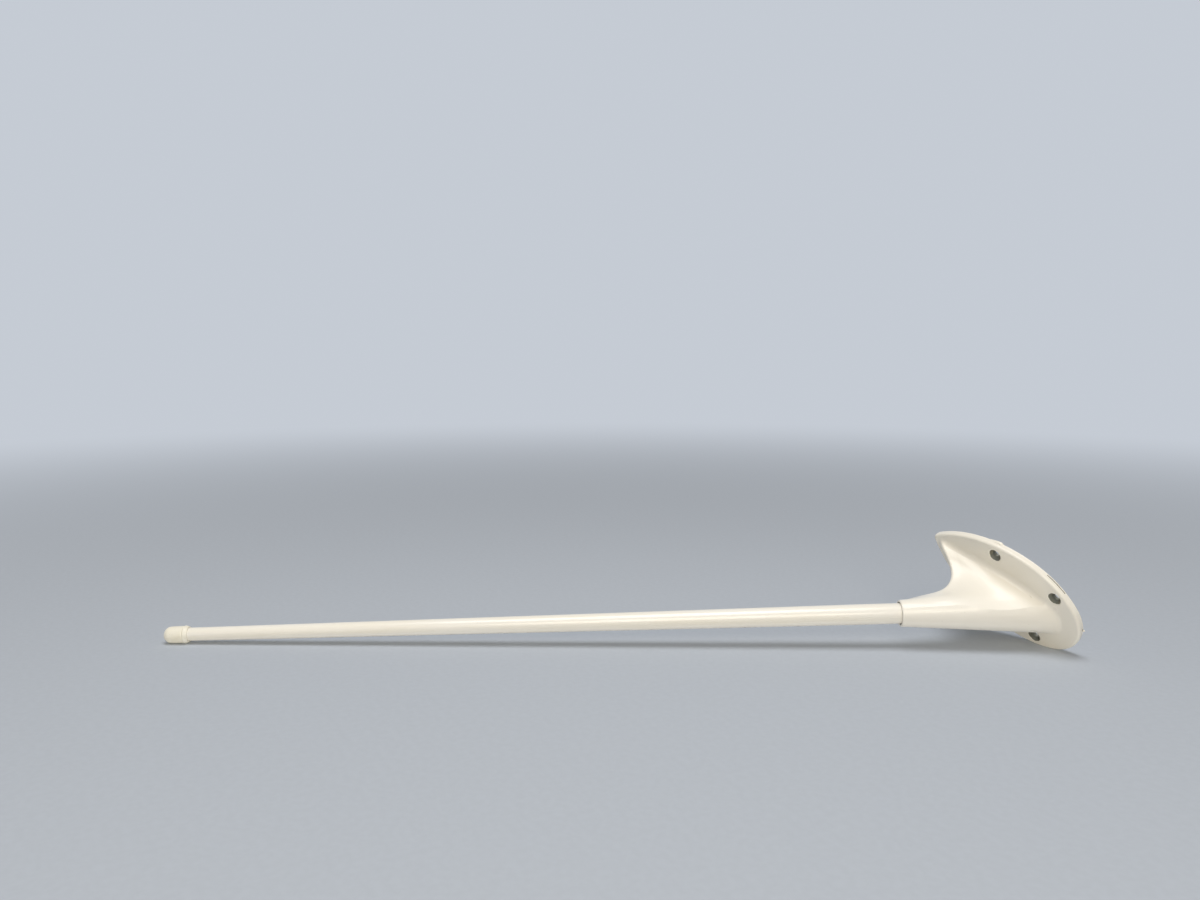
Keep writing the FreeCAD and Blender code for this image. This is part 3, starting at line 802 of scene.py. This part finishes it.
# %% Open joint
# A thin dark strip of painted shade where the joint has opened.
joint_start = rim_position(-11.0, -33.6)
joint_end = rim_position(-26.0, -29.6)
rim_bead("open_joint", joint_start, joint_end, 1.04, 1.52,
         lambda share: 0.02 + 0.05 * math.sin(math.pi * share), painted_gap_shade)

# %% Chip near the nose
chip = rim_position(-44.9, -8.6)
# A small dark patch of painted shadow beside the flake, then the flake itself.
rim_bead("chip_shadow", chip - 0.8, chip + 0.1, 0.5, 1.5,
         lambda share: 0.02 + 0.06 * math.sin(math.pi * share), painted_gap_shade)
rim_bead("chip_flake", chip - 0.2, chip + 0.9, 0.04, 0.85,
         lambda share: 0.10 + 1.0 * math.sin(math.pi * share) ** 0.7, enamel)

# %% [markdown]
# ## Connector shell
# The bayonet coax connector is turned and milled from brass, then nickel plated. Its lip is chamfered, a
# groove frees the plug's ring behind the lugs, and the lugs have domed heads. A turned profile, a hexagon
# with broken edges and two small pins stand for the plain CAD shell.

# %% Turned barrel and neck
COAX_X = 3.2
FACE_Z = -12.4
BARREL_RADIUS = 4.825
BARREL_BORE = 4.05
BORE_DEPTH = 9.0
INSULATOR_RADIUS = 2.4
HEX_LOW = 10.7
HEX_HIGH = 12.7
NECK_RADIUS = 4.75
NECK_TOP = 18.5
coax_foot = Vector((COAX_X, 0.0, FACE_Z)) * MM
barrel_profile = [(BARREL_BORE, BORE_DEPTH), (BARREL_BORE, 0.5), (BARREL_BORE + 0.3, 0.0)]
barrel_profile += arc(BARREL_RADIUS - 0.22, 0.22, 0.22, -90, 0, 5)
barrel_profile += [(BARREL_RADIUS, 9.3), (BARREL_RADIUS - 0.25, 9.5), (BARREL_RADIUS - 0.25, HEX_LOW + 0.2)]
barrel_profile += [(NECK_RADIUS - 0.3, HEX_LOW + 0.4), (NECK_RADIUS - 0.3, HEX_HIGH - 0.2)]
barrel_profile += [(NECK_RADIUS, HEX_HIGH), (NECK_RADIUS, NECK_TOP - 0.3), (NECK_RADIUS - 0.3, NECK_TOP)]
barrel_profile += [(INSULATOR_RADIUS, NECK_TOP), (INSULATOR_RADIUS, BORE_DEPTH)]
barrel_profile += [(BARREL_BORE, BORE_DEPTH)]
coax_barrel = spin("coax_barrel_turned", barrel_profile, coax_foot, UP, nickel)
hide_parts("coax_shell")

# %% Hexagon with broken edges
HEX_FLATS = 14.3
shaper = bmesh.new()
layers = []
for rise in (HEX_LOW, HEX_HIGH):
    corners = []
    for step in range(6):
        angle = math.radians(60 * step)
        spoke = Vector((math.cos(angle), math.sin(angle), 0.0)) * HEX_FLATS / math.sqrt(3)
        corners.append(shaper.verts.new(coax_foot + (spoke + UP * rise) * MM))
    layers.append(corners)
join_rings(shaper, layers, 6)
shaper.faces.new(layers[0])
shaper.faces.new(layers[1])
bmesh.ops.bevel(shaper, geom=shaper.edges[:], offset=0.22 * MM, segments=2, affect="EDGES", profile=0.5)
finish_piece("coax_hexagon", shaper, nickel)

# %% Bayonet lugs
LUG_DEPTH = 4.3
LUG_REACH = 5.55
for side, side_name in ((-1, "port"), (1, "starboard")):
    lug_profile = [(0.0, BARREL_RADIUS - 0.4), (1.0, BARREL_RADIUS - 0.4), (1.0, LUG_REACH - 0.25)]
    lug_profile += [(0.92, LUG_REACH - 0.10), (0.70, LUG_REACH - 0.03), (0.0, LUG_REACH)]
    lug_start = coax_foot + UP * LUG_DEPTH * MM
    spin("coax_lug_" + side_name, lug_profile, lug_start, Vector((0.0, side, 0.0)), nickel,
         40)
